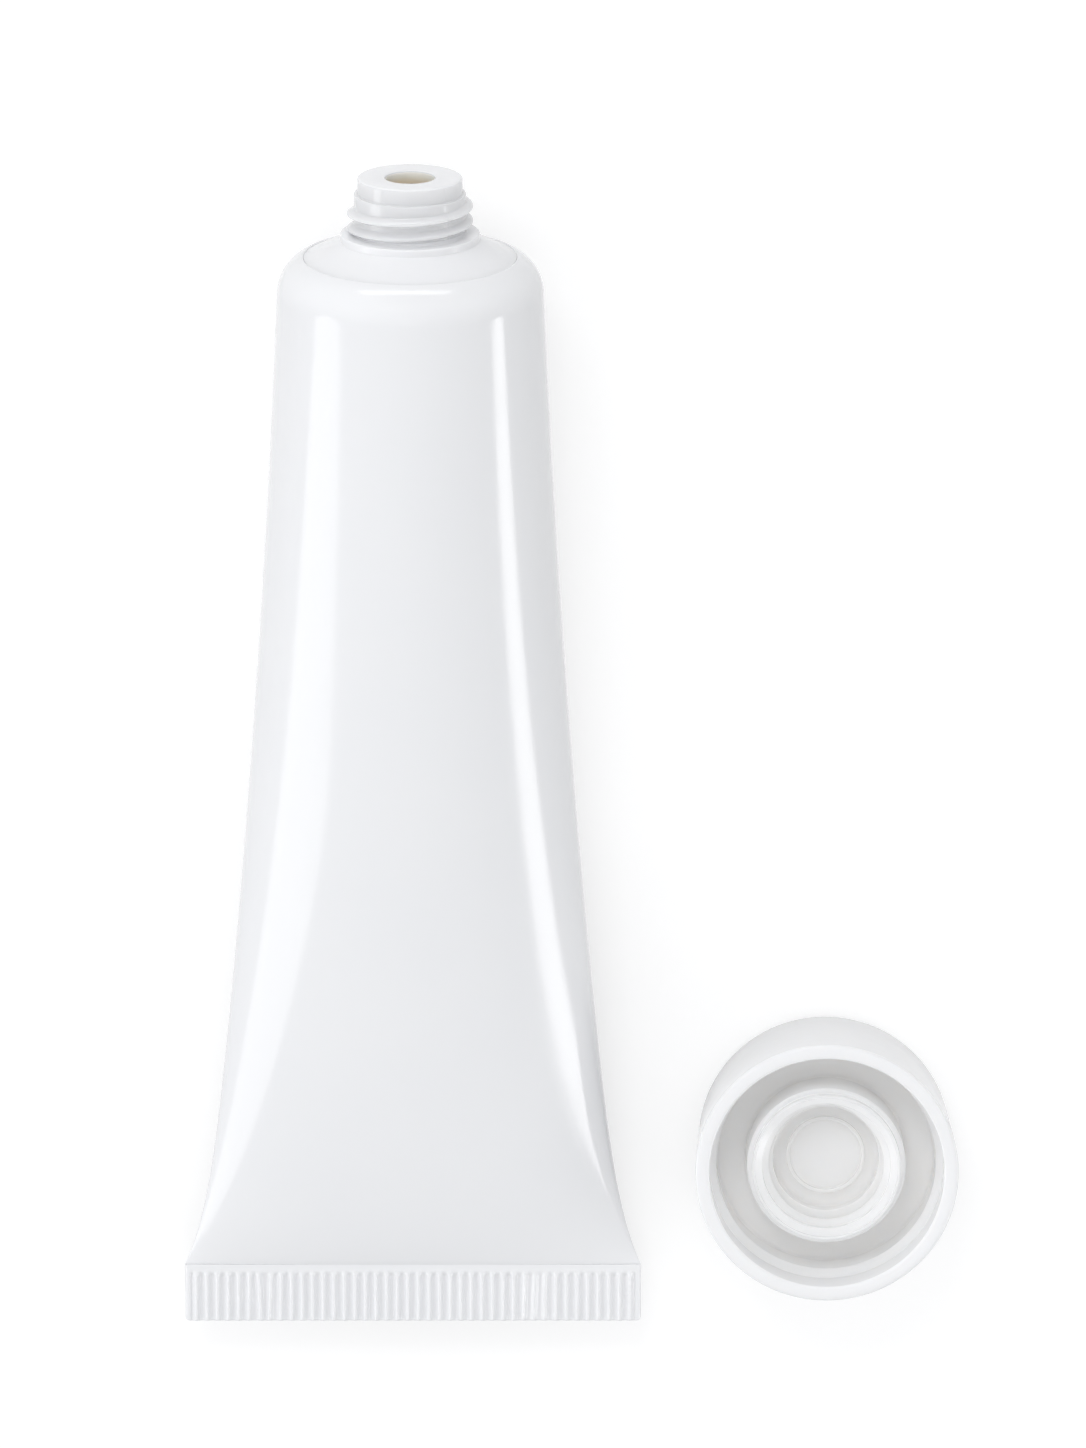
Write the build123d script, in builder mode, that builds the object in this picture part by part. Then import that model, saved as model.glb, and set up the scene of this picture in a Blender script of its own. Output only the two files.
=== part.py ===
from build123d import *
from math import atan, cos, exp, radians, sin, tan
import os

os.makedirs("parts", exist_ok=True)

# A squeeze tube of 28 mm with a threaded neck, and the screw cap taken off it, in millimetres, +Z up.
# The tube lies on its belly with the neck towards +Y. The cap stands on its closed end at the +X side.
# The origin is on the floor, under the middle of the box round both.

# Tube as a whole
tube_diameter = 28.0  # at the shoulder, where it is still round
tube_length = 126.4  # mouth to the end of the crimp
fit_gap = 0.05  # between the sleeve and the head that it is bonded to

# Sleeve: width and thickness go from the round shoulder to the flat crimp
sleeve_wall = 0.5
crimp_width = 48.7
crimp_height = 6.4
crimp_thickness = 1.1
crimp_corner = 0.45
plain_band = 0.8  # smooth strip between the body and the ribs
rib_pitch = 1.13
rib_depth = 0.24
rib_crest_share = 0.3  # of the pitch, level on top of a rib
shoulder_corner = 4.4  # outer radius where the wall turns over the shoulder
shoulder_angle = 26.0  # slope of the shoulder cone, degrees from flat
turn_steps = 2  # flats in the hidden rounds under the turn
lap_reach = 0.3  # how far the wall's edge runs up the cone past the turn

# Body between the shoulder and the crimp, in shares of its length and of what its sides grow by
body_steps = 24
crowding_share = 1.5  # brings the stations closer together near the crimp
even_growth_share = 0.43  # of the width, at an even rate from the shoulder down
flare_share = 0.19  # of the width, close above the crimp
flare_reach_share = 0.055
swell_share = 2.0  # the two powers that shape the belly from the side
belly_share = 0.66
resting_share = 0.56  # the belly is level here, under the tube's own weight
reading_share = 0.01  # to either side of that place, where its slope is read off

# Head: neck, thread, flange and the shoulder that carries the sleeve
orifice_radius = 2.55
orifice_length = 1.5
orifice_lip = 0.3
neck_radius = 5.5
neck_land = 1.75  # plain length under the mouth
neck_edge = 0.3
core_radius = 5.85  # what the thread stands on
neck_height = 6.0  # mouth to the top of the flange
neck_bore_radius = 4.3
flange_radius = 7.3
flange_thickness = 0.6
flange_edge = 0.15
head_wall = 0.9
skirt_length = 4.0  # how far the head reaches down inside the sleeve
cone_step = 0.1  # how far the sleeve's edge stands over the bare cone

# Thread, right-handed, on the neck and in the cap
thread_pitch = 1.6
thread_turns = 2.0
thread_height = 0.75
thread_base = 1.15
thread_crest = 0.3
thread_drop = 2.7  # mouth to the end of the thread's middle line
thread_gap = 0.22  # between the neck's crests and the cap's wall
thread_sink = 0.15  # how deep the foot of a ridge is set into its wall
cap_thread_turns = 1.3
ridge_clearance = 0.08  # between the cap's ridge and the step under it
# Where a ridge rises and dies out along its own length, and how high it stands there
ridge_place_shares = (0, 0.12, 0.5, 0.88, 1)
ridge_height_shares = (0.03, 1, 1, 1, 0.03)

# Cap
cap_height = 16.0
cap_rim_radius = 14.0
cap_end_radius = 13.4
cap_end_edge = 0.9
cap_end_thickness = 7.2  # up to the floor between the skirt and the socket
cap_rim_edge = 0.3
skirt_inner_radius = 12.45
skirt_relief = 4.0  # depth of the wider inside under the rim
skirt_ledge = 0.8  # width and height of the sloped ledge below it
socket_drop = 2.4  # rim of the cap to the rim of the socket
socket_radius = 7.9
collar_radius = 8.45
collar_drop = 1.0  # rim of the socket to its collar
socket_lip = 0.3  # wall left at the rim of the socket
lead_in = 0.4  # length of the slope from the mouth to the thread
mouth_depth = 0.4
bore_gap = 0.15  # round the neck's plain land
seat_drop = 8.0  # rim of the cap to the ring that closes the mouth
seal_ring_radius = 4.2
seal_ring_wall = 0.4
seal_ring_height = 0.6
floor_corner = 0.75  # slope between the socket's wall and its floor, up to just over the ring

# Places
cap_from_axis = 44.0  # between the tube's axis and the cap's
cap_from_end = 18.5  # the cap's axis from the end of the crimp, along the floor

# Levels along the tube's axis, up from the end of the crimp
tube_radius = tube_diameter / 2
slope = radians(shoulder_angle)
flange_top = tube_length - neck_height
flange_bottom = flange_top - flange_thickness
turn_radius = tube_radius - shoulder_corner
turn_end_radius = turn_radius + shoulder_corner * sin(slope)
turn_end = flange_bottom - (turn_end_radius - flange_radius) * tan(slope)
shoulder_level = turn_end - shoulder_corner * cos(slope)
body_length = shoulder_level - crimp_height

# The turn of the shoulder, from the wall (level) to the cone, and the corners that lie in it
turn_angle = radians(90) - slope
inner_corner = shoulder_corner - sleeve_wall
seat_corner = inner_corner - fit_gap
bare_corner = shoulder_corner - cone_step
head_corner = seat_corner - head_wall

band_thickness = crimp_thickness - 2 * rib_depth


def body_width(share):
    """Width of the body, the share running from the crimp (0) to the shoulder (1)."""
    down = 1 - share
    rest_share = 1 - even_growth_share - flare_share
    growth = even_growth_share * down + rest_share * down**2 + flare_share * exp(-share / flare_reach_share)
    return tube_diameter + (crimp_width - tube_diameter) * growth


def body_thickness(share):
    """Thickness of the body, which swells fast above the crimp and reaches the shoulder upright."""
    swelling = (1 - (1 - share) ** swell_share) ** belly_share
    return band_thickness + (tube_diameter - band_thickness) * swelling


body_shares = [(step / body_steps) ** crowding_share for step in range(body_steps + 1)]
body = [
    (crimp_height + body_length * share, body_width(share), body_thickness(share)) for share in body_shares
]

# The belly is level at its resting place, which gives the tilt of the tube's axis
resting_level = crimp_height + body_length * resting_share
resting_rise = body_thickness(resting_share + reading_share) - body_thickness(resting_share - reading_share)
tilt = atan(resting_rise / 2 / (2 * reading_share * body_length))
axis_height = body_thickness(resting_share) / 2 * cos(tilt) - resting_level * sin(tilt)

# Middle of the box round the tube and the cap
mouth_reach = tube_length * cos(tilt) + neck_radius * sin(tilt)
crimp_reach = crimp_thickness / 2 * sin(tilt)
tube_y = (crimp_reach - mouth_reach) / 2
tube_x = (crimp_width / 2 - cap_rim_radius - cap_from_axis) / 2

tube_origin = Vector(tube_x, tube_y, axis_height)
tube_direction = Vector(0, cos(tilt), sin(tilt))
tube_axis = Axis(tube_origin, tube_direction)
across_tube = Plane(origin=tube_origin, x_dir=(1, 0, 0), z_dir=tube_direction)
along_tube = Plane(origin=tube_origin, x_dir=(1, 0, 0), z_dir=(0, -sin(tilt), cos(tilt)))

cap_origin = Vector(tube_x + cap_from_axis, tube_y + cap_from_end, 0)
cap_axis = Axis(cap_origin, (0, 0, 1))
across_cap = Plane(origin=cap_origin)
along_cap = Plane(origin=cap_origin, x_dir=(1, 0, 0), z_dir=(0, -1, 0))


def turn_point(radius, angle):
    """Point of an arc about the centre of the shoulder's turn, the angle measured up from level."""
    return (turn_radius + radius * cos(angle), shoulder_level + radius * sin(angle))


def turn_flats(radius):
    """Points along an arc of the shoulder's turn, from the wall to the cone."""
    return [turn_point(radius, turn_angle * step / turn_steps) for step in range(turn_steps + 1)]


def up_the_cone(point, length):
    """Point further up the shoulder cone, towards the neck."""
    return (point[0] - length * cos(slope), point[1] + length * sin(slope))


def ridge_section(path, share, axis, height, facing):
    """Section across a thread's ridge, facing away from the axis (1) or towards it (-1)."""
    point = path.position_at(share)
    foot = axis.position + axis.direction * (point - axis.position).dot(axis.direction)
    across = Plane(origin=point, x_dir=(point - foot) * facing, z_dir=path.tangent_at(share))
    with BuildSketch(across) as section:
        with BuildLine():
            Polyline(
                (-thread_sink, -thread_base / 2),
                (height, -thread_crest / 2),
                (height, thread_crest / 2),
                (-thread_sink, thread_base / 2),
                close=True,
            )
        make_face()
    return section.sketch


def add_ridge(path, axis, facing):
    """Thread's ridge along a helix, rising and dying out at its ends."""
    sections = [
        ridge_section(path, place, axis, thread_height * rise, facing)
        for place, rise in zip(ridge_place_shares, ridge_height_shares)
    ]
    sweep(sections=sections, path=path, multisection=True, is_frenet=True)


# Sleeve
with BuildPart() as sleeve:
    # Flat crimp with round side edges, and ribs on both its faces
    groove_level = band_thickness / 2
    with BuildSketch(across_tube):
        SlotOverall(crimp_width, band_thickness)
    extrude(amount=crimp_height)
    rib_count = int((crimp_width - crimp_thickness) / rib_pitch)
    ribs_edge = rib_count * rib_pitch / 2
    rib_crest = rib_pitch * rib_crest_share
    zigzag = [(-ribs_edge, groove_level)]
    for rib in range(rib_count):
        middle = (rib + 1 / 2) * rib_pitch - ribs_edge
        zigzag.append((middle - rib_crest / 2, crimp_thickness / 2))
        zigzag.append((middle + rib_crest / 2, crimp_thickness / 2))
        zigzag.append((middle + rib_pitch / 2, groove_level))
    with BuildSketch(across_tube):
        with BuildLine():
            Polyline(*zigzag, *[(-x, -y) for x, y in zigzag], close=True)
        make_face()
    extrude(amount=crimp_height - plain_band)
    # Rounded lower corners
    with BuildSketch(along_tube):
        with BuildLine():
            outline = Polyline(
                (-crimp_width / 2, crimp_height),
                (-crimp_width / 2, 0),
                (crimp_width / 2, 0),
                (crimp_width / 2, crimp_height),
                close=True,
            )
        make_face()
        fillet(outline.vertices().group_by(Axis.Y)[0], radius=crimp_corner)
    extrude(amount=crimp_thickness, both=True, mode=Mode.INTERSECT)

    # Body, elliptical all the way, from the crimp to the round shoulder
    for level, width, thickness in body:
        with BuildSketch(across_tube.offset(level)):
            Ellipse(width / 2, thickness / 2)
    loft(ruled=True)
    # Inside of the body, closed a little short of the crimp
    for level, width, thickness in body[1:]:
        with BuildSketch(across_tube.offset(level)):
            Ellipse(width / 2 - sleeve_wall, thickness / 2 - sleeve_wall)
    loft(ruled=True, mode=Mode.SUBTRACT)

    # The wall turns in over the shoulder and laps onto the cone
    with BuildSketch(along_tube):
        with BuildLine():
            outer_end = turn_point(shoulder_corner, turn_angle)
            inner_turn = turn_flats(inner_corner)
            ThreePointArc(
                turn_point(shoulder_corner, 0), turn_point(shoulder_corner, turn_angle / 2), outer_end
            )
            Polyline(
                outer_end,
                up_the_cone(outer_end, lap_reach),
                up_the_cone(inner_turn[-1], lap_reach),
                *reversed(inner_turn),
                turn_point(shoulder_corner, 0),
            )
        make_face()
    revolve(axis=tube_axis)

# Head, one moulding: skirt, shoulder, flange and threaded neck
with BuildPart() as head:
    bare_end = up_the_cone(turn_point(bare_corner, turn_angle), lap_reach + fit_gap)
    seat = turn_flats(seat_corner)
    inside_end = turn_point(head_corner, turn_angle)
    skirt_radius = tube_radius - sleeve_wall - fit_gap
    skirt_end = shoulder_level - skirt_length
    with BuildSketch(along_tube):
        with BuildLine():
            Polyline(
                (orifice_radius, tube_length - orifice_length),
                (orifice_radius, tube_length),
                (neck_radius, tube_length),
                (neck_radius, tube_length - neck_land),
                (core_radius, tube_length - neck_land),
                (core_radius, flange_top),
                (flange_radius, flange_top),
                (flange_radius, bare_end[1] + (bare_end[0] - flange_radius) * tan(slope)),
                bare_end,
                up_the_cone(seat[-1], lap_reach + fit_gap),
                *reversed(seat),
                (skirt_radius, skirt_end),
                (skirt_radius - head_wall, skirt_end),
                turn_point(head_corner, 0),
                inside_end,
                (neck_bore_radius, inside_end[1] + (inside_end[0] - neck_bore_radius) * tan(slope)),
                (neck_bore_radius, tube_length - orifice_length),
                close=True,
            )
        make_face()
        chamfer(vertices().sort_by_distance((orifice_radius, tube_length))[0], length=orifice_lip)
        chamfer(vertices().sort_by_distance((neck_radius, tube_length))[0], length=neck_edge)
        chamfer(vertices().sort_by_distance((flange_radius, flange_top))[0], length=flange_edge)
    revolve(axis=tube_axis)
    thread_level = tube_length - thread_drop - thread_turns * thread_pitch
    # The ridge starts at the belly side
    thread_foot = Plane(across_tube.offset(thread_level).origin, across_tube.y_dir, tube_direction)
    neck_path = Edge.make_helix(thread_pitch, thread_turns * thread_pitch, core_radius)
    add_ridge(neck_path.moved(thread_foot.location), tube_axis, 1)

# Cap, one moulding: outer skirt, and the socket that screws onto the neck
with BuildPart() as cap:
    ledge_level = cap_height - skirt_relief
    socket_rim = cap_height - socket_drop
    socket_floor = cap_height - seat_drop - seal_ring_height
    bore_radius = neck_radius + bore_gap
    bore_top = cap_height - seat_drop + neck_land - bore_gap
    thread_wall_radius = core_radius + thread_height + thread_gap
    mouth_radius = socket_radius - socket_lip
    ring_inner_radius = seal_ring_radius - seal_ring_wall
    with BuildSketch(along_cap):
        with BuildLine():
            Polyline(
                (0, socket_floor),
                (0, 0),
                (cap_end_radius, 0),
                (cap_rim_radius, cap_height),
                (skirt_inner_radius, cap_height),
                (skirt_inner_radius, ledge_level),
                (skirt_inner_radius - skirt_ledge, ledge_level - skirt_ledge),
                (skirt_inner_radius - skirt_ledge, cap_end_thickness),
                (collar_radius, cap_end_thickness),
                (collar_radius, socket_rim - collar_drop),
                (socket_radius, socket_rim - collar_drop),
                (socket_radius, socket_rim),
                (mouth_radius, socket_rim),
                (mouth_radius, socket_rim - mouth_depth),
                (thread_wall_radius, socket_rim - mouth_depth - lead_in),
                (thread_wall_radius, bore_top),
                (bore_radius, bore_top),
                (bore_radius, socket_floor),
                (seal_ring_radius, socket_floor),
                (seal_ring_radius, socket_floor + seal_ring_height),
                (ring_inner_radius, socket_floor + seal_ring_height),
                (ring_inner_radius, socket_floor),
                close=True,
            )
        make_face()
        chamfer(vertices().sort_by_distance((bore_radius, socket_floor))[0], length=floor_corner)
        chamfer(vertices().sort_by_distance((cap_end_radius, 0))[0], length=cap_end_edge)
        chamfer(vertices().sort_by_distance((cap_rim_radius, cap_height))[0], length=cap_rim_edge)
        chamfer(vertices().sort_by_distance((skirt_inner_radius, cap_height))[0], length=cap_rim_edge)
    revolve(axis=cap_axis)
    cap_thread_foot = across_cap.offset(bore_top + thread_base / 2 + ridge_clearance)
    cap_path = Edge.make_helix(thread_pitch, cap_thread_turns * thread_pitch, thread_wall_radius)
    add_ridge(cap_path.moved(cap_thread_foot.location), cap_axis, -1)

for name, piece in (("sleeve", sleeve), ("head", head), ("cap", cap)):
    piece.part.label = name
    export_step(piece.part, f"parts/{name}.step")
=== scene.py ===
from math import cos, degrees, exp, pi, radians, sin, sqrt, tan
import bmesh
import bpy
from mathutils import Matrix, Vector


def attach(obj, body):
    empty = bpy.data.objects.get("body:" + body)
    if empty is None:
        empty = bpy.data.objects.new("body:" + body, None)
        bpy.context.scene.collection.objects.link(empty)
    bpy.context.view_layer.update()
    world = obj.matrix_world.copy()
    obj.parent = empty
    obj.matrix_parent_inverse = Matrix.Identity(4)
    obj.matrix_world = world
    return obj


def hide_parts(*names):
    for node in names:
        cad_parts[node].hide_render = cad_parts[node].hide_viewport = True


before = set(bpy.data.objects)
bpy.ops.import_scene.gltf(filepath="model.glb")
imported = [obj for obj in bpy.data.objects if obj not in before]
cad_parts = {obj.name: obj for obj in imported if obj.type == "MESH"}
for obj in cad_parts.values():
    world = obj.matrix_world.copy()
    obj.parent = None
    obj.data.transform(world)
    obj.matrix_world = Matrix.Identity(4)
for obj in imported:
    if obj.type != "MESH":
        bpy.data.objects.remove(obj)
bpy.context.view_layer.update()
print("packed model loaded")

mm = 0.001  # values are in millimetres, except where a note says metres
scene = bpy.context.scene
scene.view_settings.view_transform = "Standard"

# camera: looks down on the tube, with the neck towards the top of the picture, distances in metres
cameraValues = {
    "elevation": 77.555, "distance": 1.5, "aim": (-2.94, 3.245, 11.974),
    "frameWidth": 114.68, "sensor": 36.0, "farthest": 20,
}
lift = radians(cameraValues["elevation"])
away = Vector((0, cos(lift), sin(lift)))
cameraData = bpy.data.cameras.new("shotCamera")
cameraData.sensor_fit = "HORIZONTAL"
cameraData.sensor_width = cameraValues["sensor"]
cameraData.lens = cameraValues["sensor"] * cameraValues["distance"] / (cameraValues["frameWidth"] * mm)
cameraData.clip_end = cameraValues["farthest"]
camera = bpy.data.objects.new("shotCamera", cameraData)
spot = Vector(cameraValues["aim"]) * mm + away * cameraValues["distance"]
turned = Matrix(((1, 0, 0), (0, sin(lift), cos(lift)), (0, -cos(lift), sin(lift)))).to_4x4()
camera.matrix_world = Matrix.Translation(spot) @ turned
scene.collection.objects.link(camera)
scene.camera = camera
print("camera placed")

# where the tube and the cap lie, millimetres and degrees
tubePlace = {"end": (-16.825, -63.197, 6.865), "tilt": 4.555, "length": 126.4, "radius": 13.975}
capPlace = {"foot": (27.175, -44.697, 0)}
tilt = radians(tubePlace["tilt"])


def onTube(across, level, height):  # level runs up the tube's axis from the crimp
    x, y, z = tubePlace["end"]
    forward = level * cos(tilt) - height * sin(tilt)
    upward = level * sin(tilt) + height * cos(tilt)
    return Vector((x + across, y + forward, z + upward)) * mm


def onCap(across, depth, height):
    x, y, z = capPlace["foot"]
    return Vector((x + across, y + depth, z + height)) * mm


def ease(value, low, high):  # 0 below, 1 above, smooth between
    t = min(max((value - low) / (high - low), 0), 1)
    return t * t * (3 - 2 * t)


def facingOut(mesh):
    work = bmesh.new()
    work.from_mesh(mesh)
    bmesh.ops.recalc_face_normals(work, faces=work.faces)
    work.to_mesh(mesh)
    work.free()


# a skin over rows of points: closed joins the last row to the first, pick tells each row's finish
def rowsToPiece(name, rows, closed, finishes, pick=None, sharp=40):
    count = len(rows[0])
    points = [tuple(point) for row in rows for point in row]
    faces = []
    picks = []
    last = len(rows) if closed else len(rows) - 1
    for i in range(last):
        j = (i + 1) % len(rows)
        for k in range(count):
            m = (k + 1) % count
            faces.append((i * count + k, i * count + m, j * count + m, j * count + k))
            picks.append(pick(i) if pick else 0)
    if not closed:
        faces.append(tuple(reversed(range(count))))
        faces.append(tuple(range((len(rows) - 1) * count, len(rows) * count)))
        picks += [0, pick(last) if pick else 0]
    mesh = bpy.data.meshes.new(name)
    mesh.from_pydata(points, [], faces)
    for finish in finishes:
        mesh.materials.append(finish)
    mesh.polygons.foreach_set("material_index", picks)
    facingOut(mesh)
    mesh.shade_smooth()
    mesh.set_sharp_from_angle(angle=radians(sharp))
    mesh.update()
    piece = bpy.data.objects.new(name, mesh)
    scene.collection.objects.link(piece)
    return piece


def roundPath(corners, steps=8, most=0.49):  # corners are (radius, level, rounding)
    path = []
    for i, (x, y, rounding) in enumerate(corners):
        here = Vector((x, y))
        if rounding == 0:
            path.append((x, y))
            continue
        before = Vector(corners[i - 1][:2]) - here
        after = Vector(corners[(i + 1) % len(corners)][:2]) - here
        half = before.angle(after) / 2
        reach = min(rounding / tan(half), before.length * most, after.length * most)
        radius = reach * tan(half)
        middle = here + (before.normalized() + after.normalized()).normalized() * radius / sin(half)
        start = here + before.normalized() * reach - middle
        end = here + after.normalized() * reach - middle
        sweep = start.angle(end)
        for k in range(steps + 1):
            t = k / steps
            spoke = (start * sin((1 - t) * sweep) + end * sin(t * sweep)) / sin(sweep)
            path.append(tuple(middle + spoke))
    return path


def packedBetween(path, low, high, step, slack=0.01):  # more points where a thread runs
    dense = []
    for i, (x, y) in enumerate(path):
        dense.append((x, y))
        nextX, nextY = path[(i + 1) % len(path)]
        if min(y, nextY) >= low - slack and max(y, nextY) <= high + slack and abs(y - nextY) > step:
            parts = int(abs(y - nextY) / step)
            for k in range(1, parts):
                t = k / parts
                dense.append((x + (nextX - x) * t, y + (nextY - y) * t))
    return dense


# share of a thread's full height at a place: right-handed, rising and dying out along its length
def threadShare(v, foot, angle, level):
    share = 0
    for k in range(int(v["turns"]) + 1):
        along = angle / (2 * pi) + k
        if along > v["turns"]:
            continue
        d = level - (foot + v["pitch"] * along)
        reach = v["upperFlank"] if d > 0 else v["lowerFlank"]
        if abs(d) < reach:
            rise = ease(along, 0, v["runOut"]) * (1 - ease(along, v["turns"] - v["runOut"], v["turns"]))
            share = max(share, rise * (0.5 + 0.5 * cos(pi * d / reach)) ** v["crest"])
    return share


# finishes
def nodeOf(tree, kind, **values):
    node = tree.nodes.new(kind)
    for key, value in values.items():
        if hasattr(node, key):
            setattr(node, key, value)
        else:
            node.inputs[key.replace("_", " ")].default_value = value
    return node


def glossyPlastic(values):  # glowScale and grainDepth are in metres
    finish = bpy.data.materials.new(values["name"])
    finish.use_nodes = True
    tree = finish.node_tree
    shader = tree.nodes["Principled BSDF"]
    shader.inputs["IOR"].default_value = values["ior"]
    shader.inputs["Subsurface Weight"].default_value = values["glow"]
    shader.inputs["Subsurface Radius"].default_value = values["glowReach"]
    shader.inputs["Subsurface Scale"].default_value = values["glowScale"]
    place = nodeOf(tree, "ShaderNodeTexCoord")
    clouds = nodeOf(tree, "ShaderNodeTexNoise", Scale=values["cloudScale"], Detail=3.0)
    tree.links.new(place.outputs["Object"], clouds.inputs["Vector"])
    tone = nodeOf(tree, "ShaderNodeMix", data_type="RGBA")
    tone.inputs["A"].default_value = (*values["colour"], 1)
    tone.inputs["B"].default_value = (*values["otherColour"], 1)
    tree.links.new(clouds.outputs["Fac"], tone.inputs["Factor"])
    colour = tone.outputs["Result"]
    if "paintedShadeColour" in values:  # painted shade: warmer and darker away from the open end
        reach = nodeOf(tree, "ShaderNodeVectorMath", operation="DOT_PRODUCT")
        reach.inputs[1].default_value = values["openWay"]
        tree.links.new(place.outputs["Object"], reach.inputs[0])
        depth = nodeOf(tree, "ShaderNodeMapRange", interpolation_type="SMOOTHSTEP")
        depth.inputs["From Min"].default_value = values["openAt"]
        depth.inputs["From Max"].default_value = values["deepAt"]
        tree.links.new(reach.outputs["Value"], depth.inputs["Value"])
        deep = nodeOf(tree, "ShaderNodeMix", data_type="RGBA")
        deep.inputs["B"].default_value = (*values["paintedShadeColour"], 1)
        tree.links.new(colour, deep.inputs["A"])
        tree.links.new(depth.outputs["Result"], deep.inputs["Factor"])
        colour = deep.outputs["Result"]
    tree.links.new(colour, shader.inputs["Base Color"])
    handled = nodeOf(tree, "ShaderNodeTexNoise", Scale=values["handleScale"], Detail=5.0)
    tree.links.new(place.outputs["Object"], handled.inputs["Vector"])
    gloss = nodeOf(tree, "ShaderNodeMapRange")
    gloss.inputs["To Min"].default_value = values["roughness"][0]
    gloss.inputs["To Max"].default_value = values["roughness"][1]
    tree.links.new(handled.outputs["Fac"], gloss.inputs["Value"])
    tree.links.new(gloss.outputs["Result"], shader.inputs["Roughness"])
    grain = nodeOf(tree, "ShaderNodeTexNoise", Scale=values["grainScale"], Detail=2.0)
    tree.links.new(place.outputs["Object"], grain.inputs["Vector"])
    bump = nodeOf(tree, "ShaderNodeBump", Strength=values["grainStrength"], Distance=values["grainDepth"])
    tree.links.new(grain.outputs["Fac"], bump.inputs["Height"])
    tree.links.new(bump.outputs["Normal"], shader.inputs["Normal"])
    return finish


filmFinish = glossyPlastic({
    "name": "sleeveFilm", "colour": (0.86, 0.865, 0.88), "otherColour": (0.89, 0.892, 0.90),
    "roughness": (0.10, 0.15), "ior": 1.5, "glow": 0.1, "glowReach": (1.0, 0.95, 0.9), "glowScale": 0.0008,
    "cloudScale": 60, "handleScale": 160, "grainScale": 900, "grainStrength": 0.05, "grainDepth": 0.0001,
})
mouthWay = (0, cos(tilt), sin(tilt))  # out of the mouth, along the tube's axis
mouthLevel = onTube(0, tubePlace["length"], 0).dot(Vector(mouthWay))
coneFinish = glossyPlastic({
    "name": "headPlastic", "colour": (0.86, 0.865, 0.88), "otherColour": (0.89, 0.89, 0.90),
    "roughness": (0.13, 0.19), "ior": 1.5, "glow": 0.3, "glowReach": (1.0, 0.97, 0.93), "glowScale": 0.0015,
    "cloudScale": 150, "handleScale": 300, "grainScale": 1500, "grainStrength": 0.05, "grainDepth": 0.0001,
})
# the neck: the head's plastic painted darker than the cone, a painted shade, with crisper gloss
neckPaintedShadeFinish = glossyPlastic({
    "name": "neckPlasticPaintedShade", "colour": (0.725, 0.73, 0.742), "otherColour": (0.755, 0.757, 0.765),
    "roughness": (0.05, 0.09), "ior": 1.52, "glow": 0.8, "glowReach": (1.0, 0.97, 0.93), "glowScale": 0.003,
    "cloudScale": 150, "handleScale": 300, "grainScale": 1500, "grainStrength": 0.04, "grainDepth": 0.0001,
})
# the hole: the head's plastic painted lighter and warm, a painted glow, with a painted warm shade deepening
# into the hole
mouthPaintedGlowFinish = glossyPlastic({
    "name": "mouthPlasticPaintedGlowAndShade", "colour": (0.995, 0.912, 0.842), "otherColour": (0.995, 0.917, 0.852),
    "roughness": (0.25, 0.35), "ior": 1.5, "glow": 1.0, "glowReach": (1.0, 1.0, 1.0), "glowScale": 0.001,
    "cloudScale": 200, "handleScale": 300, "grainScale": 1500, "grainStrength": 0.05, "grainDepth": 0.0001,
    "paintedShadeColour": (0.995, 0.822, 0.665), "openWay": mouthWay,
    "openAt": mouthLevel - 0.4 * mm, "deepAt": mouthLevel - 1.5 * mm,
})
capFinish = glossyPlastic({
    "name": "capPlastic", "colour": (0.87, 0.872, 0.88), "otherColour": (0.895, 0.895, 0.90),
    "roughness": (0.16, 0.24), "ior": 1.5, "glow": 0.8, "glowReach": (1.0, 0.97, 0.93), "glowScale": 0.002,
    "cloudScale": 90, "handleScale": 200, "grainScale": 1200, "grainStrength": 0.05, "grainDepth": 0.0001,
})
# the cap's inside: the cap's plastic painted lighter, painted light in the hollow, with a painted warm shade
# towards its floor
capInsidePaintedLightFinish = glossyPlastic({
    "name": "capInsidePlasticPaintedLightAndShade", "colour": (0.955, 0.955, 0.957), "otherColour": (0.965, 0.965, 0.962),
    "roughness": (0.2, 0.3), "ior": 1.5, "glow": 0.8, "glowReach": (1.0, 0.97, 0.93), "glowScale": 0.003,
    "cloudScale": 90, "handleScale": 200, "grainScale": 1200, "grainStrength": 0.05, "grainDepth": 0.0001,
    "paintedShadeColour": (0.96, 0.948, 0.925), "openWay": (0, 0, 1), "openAt": 14 * mm, "deepAt": 5 * mm,
})
print("finishes made")

# sleeve: body swelling from the flat crimp to the round shoulder
sleeveValues = {
    "wall": 0.5, "crimpWidth": 48.7, "crimpHeight": 6.4, "crimpThickness": 1.1, "grooveDepth": 0.24,
    "shoulderLevel": 113.783, "corner": 4.4, "coneSlope": 26.0, "lap": 0.3, "lip": 0.14,
    "evenGrowth": 0.43, "flare": 0.19, "flareReach": 0.055, "swell": 2.0, "belly": 0.66, "softStart": 0.004,
    "around": 192, "outerRows": 150, "turnRows": 16, "lipRows": 6, "innerTurnRows": 8, "innerRows": 60,
    "innerStart": 4, "closer": 1.5,  # rows stand closer towards the crimp, the inside ends short of it
}
bandThickness = sleeveValues["crimpThickness"] - 2 * sleeveValues["grooveDepth"]
bodyLength = sleeveValues["shoulderLevel"] - sleeveValues["crimpHeight"]
coneSlope = radians(sleeveValues["coneSlope"])
turnRadius = tubePlace["radius"] - sleeveValues["corner"]
turnAngle = radians(90) - coneSlope  # how far the shoulder turns before the cone


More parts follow.
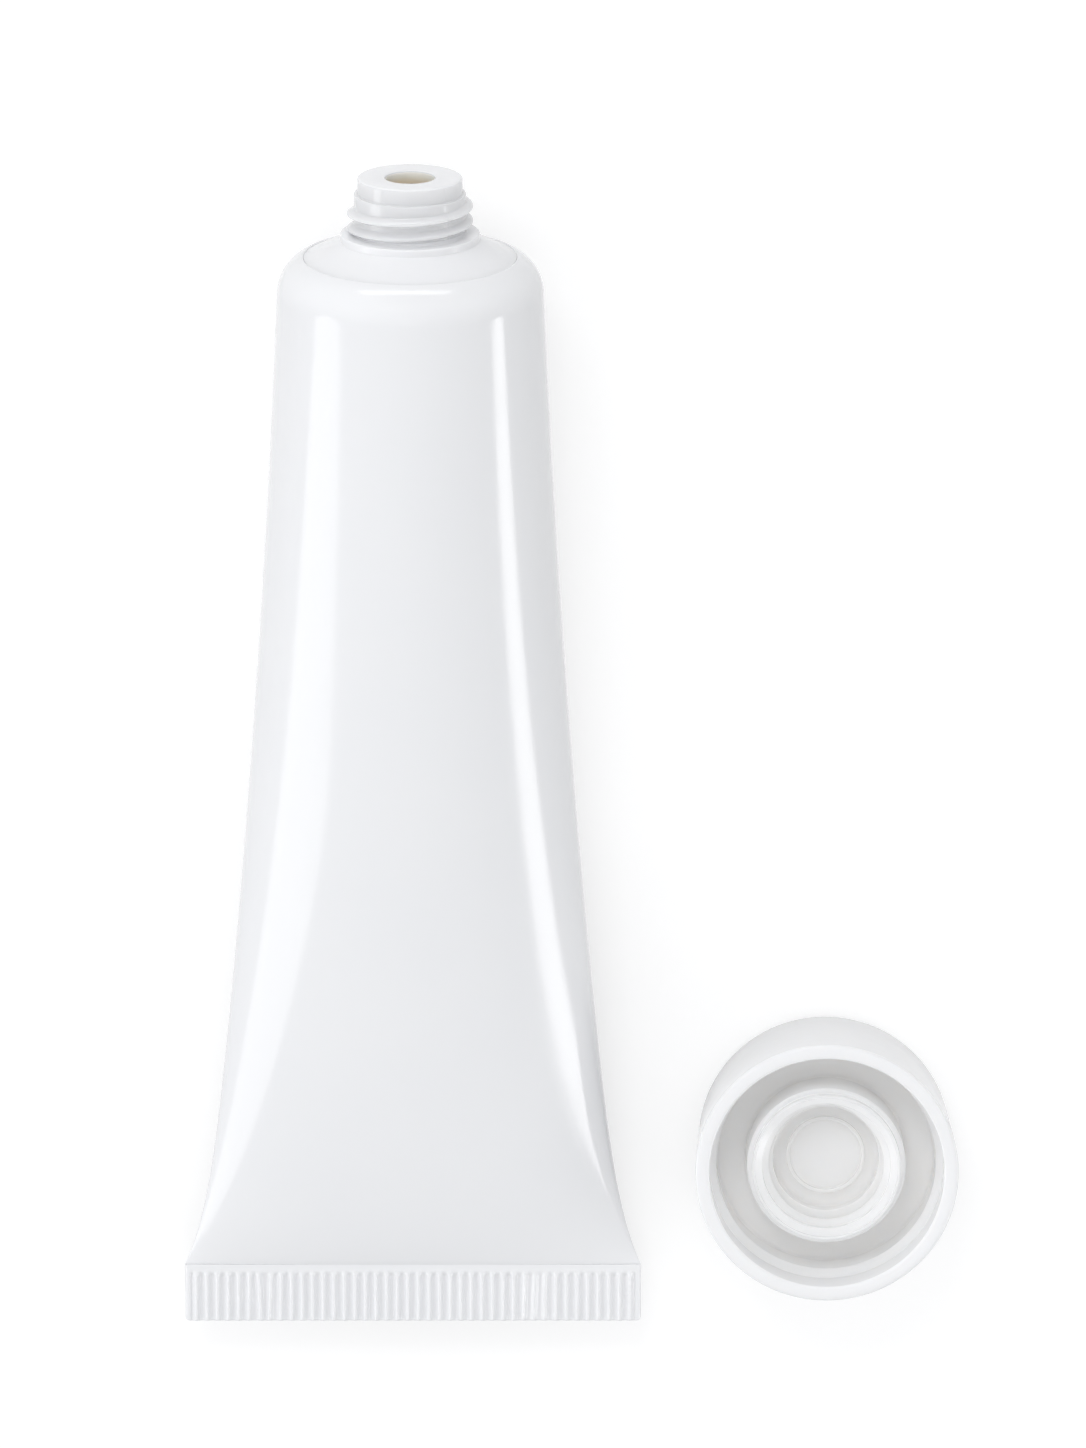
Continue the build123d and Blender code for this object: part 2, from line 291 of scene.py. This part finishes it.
def bodyWidth(share):  # share runs from 0 at the crimp to 1 at the shoulder
    v = sleeveValues
    down = 1 - share
    rest = 1 - v["evenGrowth"] - v["flare"]
    growth = v["evenGrowth"] * down + rest * down**2 + v["flare"] * exp(-share / v["flareReach"])
    return 2 * tubePlace["radius"] + (v["crimpWidth"] - 2 * tubePlace["radius"]) * growth


def bodyThickness(share):
    v = sleeveValues
    share = share**2 / (share + v["softStart"]) if share > 0 else 0
    swelling = (1 - (1 - share) ** v["swell"]) ** v["belly"]
    return bandThickness + (2 * tubePlace["radius"] - bandThickness) * swelling


def turnPoint(radius, angle):
    return (turnRadius + radius * cos(angle), sleeveValues["shoulderLevel"] + radius * sin(angle))


def upTheCone(point, length):
    return (point[0] - length * cos(coneSlope), point[1] + length * sin(coneSlope))


def ring(halfWidth, halfThickness, level, count):
    return [
        onTube(halfWidth * cos(2 * pi * k / count), level, halfThickness * sin(2 * pi * k / count))
        for k in range(count)
    ]


def bodyRing(share, wall):
    v = sleeveValues
    level = v["crimpHeight"] + bodyLength * share
    return ring(bodyWidth(share) / 2 - wall, bodyThickness(share) / 2 - wall, level, v["around"])


def roundRing(place):
    radius, level = place
    return ring(radius, radius, level, sleeveValues["around"])


def sleeveRows():
    v = sleeveValues
    inner = v["corner"] - v["wall"]
    rows = [bodyRing((i / v["outerRows"]) ** v["closer"], 0) for i in range(v["outerRows"] + 1)]
    for i in range(1, v["turnRows"] + 1):
        rows.append(roundRing(turnPoint(v["corner"], turnAngle * i / v["turnRows"])))
    for i in range(1, v["lipRows"] + 1):  # the film's cut edge, softened by the weld
        turn = radians(90) * i / v["lipRows"]
        outward = turnPoint(v["corner"] - v["lip"] * (1 - cos(turn)), turnAngle)
        rows.append(roundRing(upTheCone(outward, v["lap"] - v["lip"] * (1 - sin(turn)))))
    outerEnd = Vector(upTheCone(turnPoint(v["corner"], turnAngle), v["lap"]))
    innerEnd = Vector(upTheCone(turnPoint(inner, turnAngle), v["lap"]))
    for share in (v["lip"] / v["wall"] + 0.1, 0.9, 1.0):
        rows.append(roundRing(outerEnd.lerp(innerEnd, share)))
    for i in range(v["innerTurnRows"], -1, -1):
        rows.append(roundRing(turnPoint(inner, turnAngle * i / v["innerTurnRows"])))
    for i in range(v["innerRows"] - 1, v["innerStart"] - 1, -1):
        rows.append(bodyRing((i / v["innerRows"]) ** v["closer"], v["wall"]))
    return rows


sleeve = rowsToPiece("sleeveBody", sleeveRows(), False, [filmFinish])
print("sleeve body made")

# crimp: a flat band pressed into ribs on both faces
crimpValues = {
    "pitch": 1.13, "ribs": 42, "crest": 1.5, "pressed": 0.2, "plainBand": 0.8, "cornerRadius": 0.45,
    "edge": 0.3, "edgeShare": 0.25, "across": 640, "rows": 34, "closer": 1.3,
    "bends": {5: 0.125, 6: -0.225, 7: 0.25, 8: 0.1, 31: 0.15, 32: 0.225, 33: 0.1},
    "weak": {5: 0.85, 7: 0.75, 31: 0.8, 32: 0.6, 33: 0.75},
    "scuffed": (31, 33), "scuff": 0.07, "scuffWaves": 3.3,
}
ribsTop = sleeveValues["crimpHeight"] - crimpValues["plainBand"]
ribsStart = -crimpValues["ribs"] * crimpValues["pitch"] / 2


def ribHeight(x, level):  # 1 on a rib's crest, 0 in the grooves; ribs are counted from the left
    v = crimpValues
    height = 0
    first = int((x - ribsStart) / v["pitch"])
    for rib in (first - 1, first, first + 1):
        if 0 <= rib < v["ribs"]:
            bend = v["bends"].get(rib, 0) * (level / ribsTop - 0.5)
            centre = ribsStart + (rib + 0.5) * v["pitch"] + bend
            d = abs(x - centre) / (v["pitch"] / 2)
            if d < 1:
                height = max(height, v["weak"].get(rib, 1) * (0.5 + 0.5 * cos(pi * d)) ** v["crest"])
                if v["scuffed"][0] <= rib <= v["scuffed"][1]:
                    height += v["scuff"] * (1 - d) * cos(2 * pi * v["scuffWaves"] * d + rib)
    return height


def pressedFace(x, level):  # half the crimp's thickness: crests stand up, grooves are pressed in
    ribbed = 1 - ease(level, ribsTop - 0.4, ribsTop + 0.05)
    within = 1 - ease(abs(x), -ribsStart - 0.1, -ribsStart + 0.15)
    rib = ribHeight(x, level)
    groove = crimpValues["pressed"] * (1 - rib) * within
    return bandThickness / 2 + ribbed * (sleeveValues["grooveDepth"] * rib - groove)


def crimpPiece():
    v = crimpValues
    halfWidth = sleeveValues["crimpWidth"] / 2
    top = sleeveValues["crimpHeight"]
    columns = v["across"] + 1
    rows = v["rows"] + 1
    points = []
    for face in (1, -1):
        for j in range(rows):
            for i in range(columns):
                x = halfWidth * (2 * i / v["across"] - 1)
                over = max(abs(x) - (halfWidth - v["cornerRadius"]), 0)
                low = v["cornerRadius"] - sqrt(max(v["cornerRadius"] ** 2 - over**2, 0))
                level = low + (top - low) * (j / v["rows"]) ** v["closer"]
                inside = min(halfWidth - abs(x), level - low, v["edge"])
                rounding = sqrt(max(1 - (1 - inside / v["edge"]) ** 2, 0))
                height = pressedFace(x, level) * (v["edgeShare"] + (1 - v["edgeShare"]) * rounding)
                points.append(tuple(onTube(x, level, face * height)))
    faces = []
    other = rows * columns
    for j in range(rows - 1):
        for i in range(columns - 1):
            a = j * columns + i
            faces.append((a, a + 1, a + columns + 1, a + columns))
            faces.append((other + a, other + a + columns, other + a + columns + 1, other + a + 1))
    for a in range(columns - 1):  # the strips that close the lower and upper edge, then the two ends
        b = (rows - 1) * columns + a
        faces.append((a, other + a, other + a + 1, a + 1))
        faces.append((b, b + 1, other + b + 1, other + b))
    for j in range(rows - 1):
        a = j * columns
        b = a + columns - 1
        faces.append((a, a + columns, other + a + columns, other + a))
        faces.append((b, other + b, other + b + columns, b + columns))
    mesh = bpy.data.meshes.new("sleeveCrimp")
    mesh.from_pydata(points, [], faces)
    mesh.materials.append(filmFinish)
    facingOut(mesh)
    mesh.shade_smooth()
    mesh.set_sharp_from_angle(angle=radians(60))
    piece = bpy.data.objects.new("sleeveCrimp", mesh)
    scene.collection.objects.link(piece)
    return piece


crimp = crimpPiece()
print("crimp made")

# head: shoulder, flange and threaded neck in one moulding, the hole's length reaches a little past the CAD's
headValues = {
    "orifice": 2.55, "orificeLength": 1.9, "neck": 5.5, "land": 1.75, "core": 5.85, "neckHeight": 6.0,
    "neckBore": 4.3, "flange": 7.3, "wall": 0.9, "skirt": 4.0, "coneStep": 0.15, "gap": 0.02,
    "pitch": 1.6, "turns": 2.0, "ridge": 0.75, "threadDrop": 2.7, "upperFlank": 0.62, "lowerFlank": 0.5,
    "runOut": 0.2, "crest": 0.75, "around": 360, "seatSteps": 8,
    "partings": (222, 42), "partingWidth": 1.1, "partingHeight": 0.035,
    "partingCut": 0.14, "partingReach": (2, 5),  # all but the height and the cut in degrees
}


def fromParting(angle, parting):  # degrees between a place on the neck and a parting of the mould
    return abs((degrees(angle) - parting + 180) % 360 - 180)


def neckRidge(angle, level):  # angle from the belly side
    v = headValues
    foot = tubePlace["length"] - v["threadDrop"] - v["turns"] * v["pitch"]
    height = threadShare(v, foot, angle, level)
    for parting in v["partings"]:  # the mould's halves meet here and shave the ridge a little
        height *= 1 - v["partingCut"] * (1 - ease(fromParting(angle, parting), *v["partingReach"]))
    return v["ridge"] * height


def partingLine(angle):
    v = headValues
    nearest = min(fromParting(angle, parting) for parting in v["partings"])
    return v["partingHeight"] * (1 - ease(nearest, 0, v["partingWidth"]))


def headRows():
    v = headValues
    length = tubePlace["length"]
    top = length - v["neckHeight"]
    lap = sleeveValues["lap"] + v["gap"]
    bareEnd = upTheCone(turnPoint(sleeveValues["corner"] - v["coneStep"], turnAngle), lap)
    seat = sleeveValues["corner"] - sleeveValues["wall"] - v["gap"]
    seatEnd = turnPoint(seat, turnAngle)
    insideEnd = turnPoint(seat - v["wall"], turnAngle)
    skirt = tubePlace["radius"] - sleeveValues["wall"] - v["gap"]
    skirtEnd = sleeveValues["shoulderLevel"] - v["skirt"]
    under = upTheCone(seatEnd, lap)
    corners = [
        (v["orifice"], length - v["orificeLength"], 0.1),
        (v["orifice"], length, 0.3),
        (v["neck"], length, 0.3),
        (v["neck"], length - v["land"], 0.12),
        (v["core"], length - v["land"], 0.12),
        (v["core"], top, 0.15),
        (v["flange"], top, 0.18),
        (v["flange"], bareEnd[1] + (bareEnd[0] - v["flange"]) * tan(coneSlope), 0.1),
        (*bareEnd, 0),
        (*under, 0),
        (*seatEnd, 0),
    ]
    steps = v["seatSteps"]
    corners += [(*turnPoint(seat, turnAngle * i / steps), 0) for i in range(steps - 1, -1, -1)]
    corners += [
        (skirt, skirtEnd, 0),
        (skirt - v["wall"], skirtEnd, 0),
        (*turnPoint(seat - v["wall"], 0), 0),
        (*insideEnd, 0),
        (v["neckBore"], insideEnd[1] + (insideEnd[0] - v["neckBore"]) * tan(coneSlope), 0.3),
        (v["neckBore"], length - v["orificeLength"], 0.2),
    ]
    path = packedBetween(roundPath(corners), top + 0.1, length - v["land"] - 0.05, 0.05)
    rows = []
    for r, s in path:
        threaded = v["core"] - 0.2 < r < v["core"] + 0.05 and top < s < length - v["land"]
        row = []
        for k in range(v["around"]):
            angle = 2 * pi * k / v["around"]
            out = r + (neckRidge(angle, s) if threaded else 0)
            if r > v["neck"] - 0.05 and top < s < length - 0.2:
                out += partingLine(angle)
            row.append(onTube(-out * sin(angle), s, -out * cos(angle)))
        rows.append(row)
    return rows, path


rows, headPath = headRows()


# which finish each row takes: the hole with its painted glow and shade, the neck with its painted shade, the
# rest plain
def headPick(i):
    v = headValues
    r, s = headPath[i]
    drop = tubePlace["length"] - s
    if r < v["neckBore"] + 0.3 and drop > 0.2:
        return 2  # the hole and the bore under it
    return 1 if r < v["flange"] - 0.1 and 0.1 < drop < v["neckHeight"] - 0.4 else 0  # the neck, the rest


head = rowsToPiece("headMoulding", rows, True, [coneFinish, neckPaintedShadeFinish, mouthPaintedGlowFinish], headPick)
print("head made")

# cap: outer skirt and the socket inside it
capValues = {
    "height": 16.0, "rim": 14.0, "end": 13.4, "endThickness": 7.2, "inner": 12.45, "relief": 4.0,
    "ledge": 0.8, "socketDrop": 2.4, "socket": 7.9, "collar": 8.45, "collarDrop": 1.0, "lip": 0.3,
    "leadIn": 0.4, "mouth": 0.4, "seatDrop": 8.0, "ring": 4.2, "ringWall": 0.4, "ringHeight": 0.6,
    "bore": 5.65, "boreTop": 9.6, "threadWall": 6.82, "middle": 0.05, "around": 256,
    "pitch": 1.6, "turns": 1.3, "ridge": 0.75, "threadFoot": 10.255, "upperFlank": 0.58, "lowerFlank": 0.58,
    "runOut": 0.2, "crest": 0.75,
}


def capRows():
    v = capValues
    h = v["height"]
    floorLevel = h - v["seatDrop"] - v["ringHeight"]
    socketRim = h - v["socketDrop"]
    ledgeLevel = h - v["relief"]
    threadTop = socketRim - v["mouth"] - v["leadIn"]
    inner = v["ring"] - v["ringWall"]
    corners = [
        (v["middle"], 0, 0),
        (v["end"], 0, 0.9),
        (v["rim"], h, 0.35),
        (v["inner"], h, 0.3),
        (v["inner"], ledgeLevel, 0.3),
        (v["inner"] - v["ledge"], ledgeLevel - v["ledge"], 0.3),
        (v["inner"] - v["ledge"], v["endThickness"], 0.4),
        (v["collar"], v["endThickness"], 0.4),
        (v["collar"], socketRim - v["collarDrop"], 0.25),
        (v["socket"], socketRim - v["collarDrop"], 0.12),
        (v["socket"], socketRim, 0.14),
        (v["socket"] - v["lip"], socketRim, 0.14),
        (v["socket"] - v["lip"], socketRim - v["mouth"], 0.15),
        (v["threadWall"], threadTop, 0.15),
        (v["threadWall"], v["boreTop"], 0.1),
        (v["bore"], v["boreTop"], 0.15),
        (v["bore"], floorLevel, 0.7),
        (v["ring"], floorLevel, 0.1),
        (v["ring"], floorLevel + v["ringHeight"], 0.15),
        (inner, floorLevel + v["ringHeight"], 0.15),
        (inner, floorLevel, 0.2),
        (v["middle"], floorLevel, 0),
    ]
    path = packedBetween(roundPath(corners), v["boreTop"] + 0.05, threadTop + 0.05, 0.06)
    rows = []
    for r, s in path:
        threaded = abs(r - v["threadWall"]) < 0.02 and v["boreTop"] < s < socketRim - v["mouth"]
        row = []
        for k in range(v["around"]):
            angle = 2 * pi * k / v["around"]
            inward = v["ridge"] * threadShare(v, v["threadFoot"], angle, s) if threaded else 0
            row.append(onCap((r - inward) * cos(angle), (r - inward) * sin(angle), s))
        rows.append(row)
    return rows, path


rows, capPath = capRows()


# the inside takes the painted light and shade, the outside the plain cap plastic
def capPick(i):
    r, s = capPath[i]
    inside = r < capValues["inner"] + 0.15 and 0.1 < s < capValues["height"] - 0.5
    return 1 if inside else 0


cap = rowsToPiece("capMoulding", rows, False, [capFinish, capInsidePaintedLightFinish], capPick)
print("cap made")

for piece, node in ((sleeve, "sleeve"), (crimp, "sleeve"), (head, "head"), (cap, "cap")):
    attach(piece, "root")
    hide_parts(node)

# floor and lamps
floorValues = {"reach": 3.0, "below": 0.02, "colour": (0.50, 0.50, 0.50), "shown": 0.575}  # reach in metres


def seenDirectly(tree):  # 1 where the camera sees it, straight or through gloss and glass
    path = nodeOf(tree, "ShaderNodeLightPath")
    first = nodeOf(tree, "ShaderNodeMath", operation="MAXIMUM")
    both = nodeOf(tree, "ShaderNodeMath", operation="MAXIMUM")
    tree.links.new(path.outputs["Is Camera Ray"], first.inputs[0])
    tree.links.new(path.outputs["Is Glossy Ray"], first.inputs[1])
    tree.links.new(first.outputs["Value"], both.inputs[0])
    tree.links.new(path.outputs["Is Transmission Ray"], both.inputs[1])
    return both.outputs["Value"]


mesh = bpy.data.meshes.new("floor")
far = floorValues["reach"]
mesh.from_pydata([(-far, -far, 0), (far, -far, 0), (far, far, 0), (-far, far, 0)], [], [(0, 1, 2, 3)])
floor = bpy.data.objects.new("floor", mesh)
floor.location = (0, 0, -floorValues["below"] * mm)
scene.collection.objects.link(floor)
paper = bpy.data.materials.new("whiteSweep")
paper.use_nodes = True
tree = paper.node_tree
tree.nodes.clear()
out = nodeOf(tree, "ShaderNodeOutputMaterial")
matt = nodeOf(tree, "ShaderNodeBsdfDiffuse")
matt.inputs["Color"].default_value = (*floorValues["colour"], 1)
shine = nodeOf(tree, "ShaderNodeEmission")
level = nodeOf(tree, "ShaderNodeMath", operation="MULTIPLY")
both = nodeOf(tree, "ShaderNodeAddShader")
tree.links.new(seenDirectly(tree), level.inputs[0])
level.inputs[1].default_value = floorValues["shown"]
tree.links.new(level.outputs["Value"], shine.inputs["Strength"])
tree.links.new(matt.outputs["BSDF"], both.inputs[0])
tree.links.new(shine.outputs["Emission"], both.inputs[1])
tree.links.new(both.outputs["Shader"], out.inputs["Surface"])
floor.data.materials.append(paper)

# sky: brighter on the tube's left and towards its neck, plain white where it is seen or mirrored
skyValues = {"way": (-0.65, 0.3, 0.7), "dim": 0.18, "bright": 0.865, "tint": (0.97, 0.98, 1)}
world = bpy.data.worlds.new("studioWorld")
scene.world = world
world.use_nodes = True
worldTree = world.node_tree
worldTree.nodes.clear()
worldOut = nodeOf(worldTree, "ShaderNodeOutputWorld")
skyPlace = nodeOf(worldTree, "ShaderNodeTexCoord")
skyReach = nodeOf(worldTree, "ShaderNodeVectorMath", operation="DOT_PRODUCT")
skyReach.inputs[1].default_value = skyValues["way"]
skyLevel = nodeOf(worldTree, "ShaderNodeMapRange")
skyLevel.inputs["From Min"].default_value = -1
skyLevel.inputs["To Min"].default_value = skyValues["dim"]
skyLevel.inputs["To Max"].default_value = skyValues["bright"]
sky = nodeOf(worldTree, "ShaderNodeBackground")
sky.inputs["Color"].default_value = (*skyValues["tint"], 1)
white = nodeOf(worldTree, "ShaderNodeBackground", Strength=1.0)
white.inputs["Color"].default_value = (1, 1, 1, 1)
worldMix = nodeOf(worldTree, "ShaderNodeMixShader")
worldTree.links.new(skyPlace.outputs["Generated"], skyReach.inputs[0])
worldTree.links.new(skyReach.outputs["Value"], skyLevel.inputs["Value"])
worldTree.links.new(skyLevel.outputs["Result"], sky.inputs["Strength"])
worldTree.links.new(seenDirectly(worldTree), worldMix.inputs["Fac"])
worldTree.links.new(sky.outputs["Background"], worldMix.inputs[1])
worldTree.links.new(white.outputs["Background"], worldMix.inputs[2])
worldTree.links.new(worldMix.outputs["Shader"], worldOut.inputs["Surface"])

# each lamp: place and target in metres, the way its long side runs, size in metres, power in watts
lampValues = {
    "leftBox": {
        "at": (-0.62, -0.24, 0.23), "to": (-0.02, 0, 0.02), "along": (0, -0.45, 0.35),
        "size": (0.5, 0.27), "power": 0.87, "mirrored": True,
    },
    "rightStrip": {
        "at": (0.55, -0.26, 0.21), "to": (-0.02, 0, 0.02), "along": (0, -0.42, 0.33),
        "size": (0.5, 0.11), "power": 0.86, "mirrored": True,
    },
    "neckStrip": {
        "at": (-0.05, 0.62, 0.09), "to": (-0.02, 0.05, 0.02), "along": (1, 0, 0),
        "size": (0.5, 0.13), "power": 0.65, "mirrored": True,
    },
    "keyBox": {
        "at": (-0.18, 0.7, 0.96), "to": (-0.02, 0, 0.02), "along": (1, 0, 0),
        "size": (0.42, 0.36), "power": 2.35, "mirrored": False,
    },
    "topBox": {
        "at": (0.0, -0.03, 1.3), "to": (0.0, -0.03, 0), "along": (1, 0, 0),
        "size": (0.35, 0.35), "power": 1.1, "mirrored": False,
    },
}
for name, v in lampValues.items():
    data = bpy.data.lights.new(name, "AREA")
    data.shape = "RECTANGLE"
    data.size, data.size_y = v["size"]
    data.energy = v["power"]
    lamp = bpy.data.objects.new(name, data)
    aim = Vector(v["at"]) - Vector(v["to"])
    back = aim.normalized()
    side = Vector(v["along"])
    side = (side - back * side.dot(back)).normalized()
    other = back.cross(side)
    lamp.matrix_world = Matrix.Translation(v["at"]) @ Matrix((side, other, back)).transposed().to_4x4()
    scene.collection.objects.link(lamp)
    lamp.visible_camera = False
    lamp.visible_glossy = v["mirrored"]
print("floor and lamps placed")
